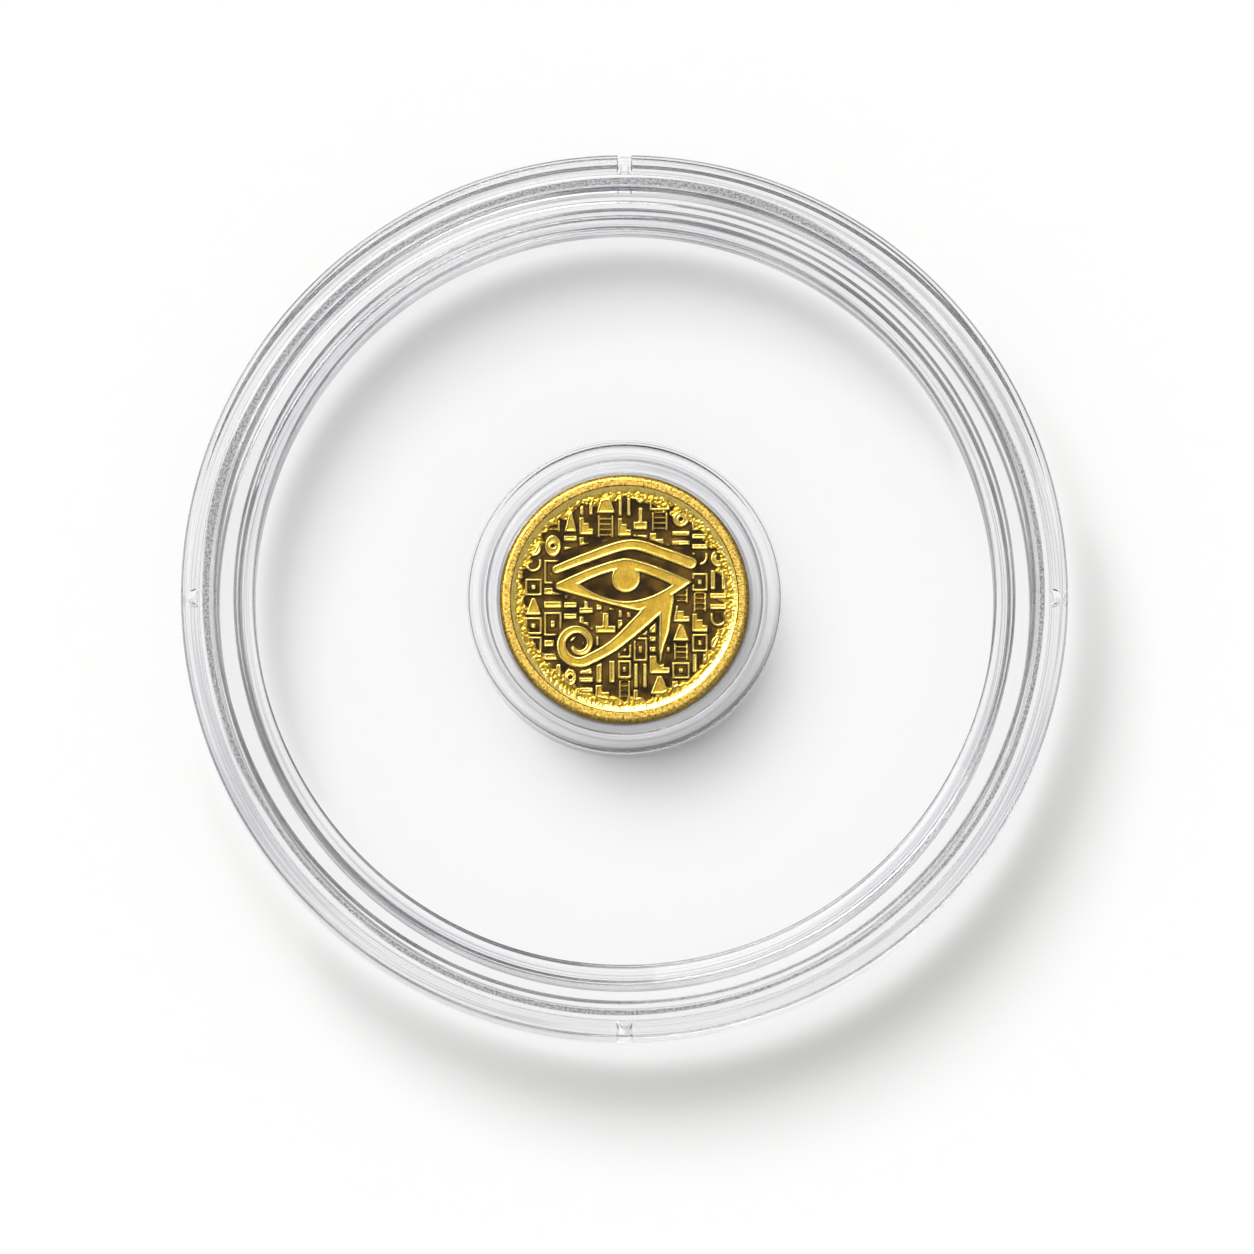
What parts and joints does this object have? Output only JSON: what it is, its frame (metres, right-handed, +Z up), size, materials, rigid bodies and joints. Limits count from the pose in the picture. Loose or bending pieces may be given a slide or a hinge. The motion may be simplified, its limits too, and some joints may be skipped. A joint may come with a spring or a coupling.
{
  "type": "coin capsule",
  "caption": "Small clear round capsule with a struck gold coin, held at the centre of a large clear two-shell display capsule with a lift-off lid.",
  "frame": {"origin": "on the common axis of both capsules, on the plane the foot ring stands on", "axes": "+Z up through the lids, -Y towards the lower edge of the coin's design"},
  "size_m": [0.085, 0.085, 0.0109],
  "materials": {
    "clear_large": "clear moulded polystyrene, polished, faint lavender at the edges",
    "clear_small": "clear moulded polystyrene, polished",
    "coin_gold": "gold-plated, polished relief with a dark patinated field"
  },
  "bodies": {
    "outer_base": {"outer_base": "clear_large"},
    "outer_lid": {"outer_lid": "clear_large"},
    "inner_base": {"inner_base": "clear_small"},
    "inner_lid": {"inner_lid": "clear_small"},
    "coin": {"coin": "coin_gold"}
  },
  "joints": [
    {"name": "outer_lid_lift", "type": "slide", "parent": "outer_base", "child": "outer_lid", "axis": [0, 0, 1], "range_m": [0, 0.06]},
    {"name": "inner_capsule_lift", "type": "slide", "parent": "outer_base", "child": "inner_base", "axis": [0, 0, 1], "range_m": [0, 0.024]},
    {"name": "inner_lid_lift", "type": "slide", "parent": "inner_base", "child": "inner_lid", "axis": [0, 0, 1], "range_m": [0, 0.018]},
    {"name": "coin_lift", "type": "slide", "parent": "inner_base", "child": "coin", "axis": [0, 0, 1], "range_m": [0, 0.009]}
  ],
  "couplings": [
    {"joint": "inner_capsule_lift", "follows": "outer_lid_lift", "ratio": 0.4},
    {"joint": "inner_lid_lift", "follows": "outer_lid_lift", "ratio": 0.3},
    {"joint": "coin_lift", "follows": "outer_lid_lift", "ratio": 0.15}
  ]
}
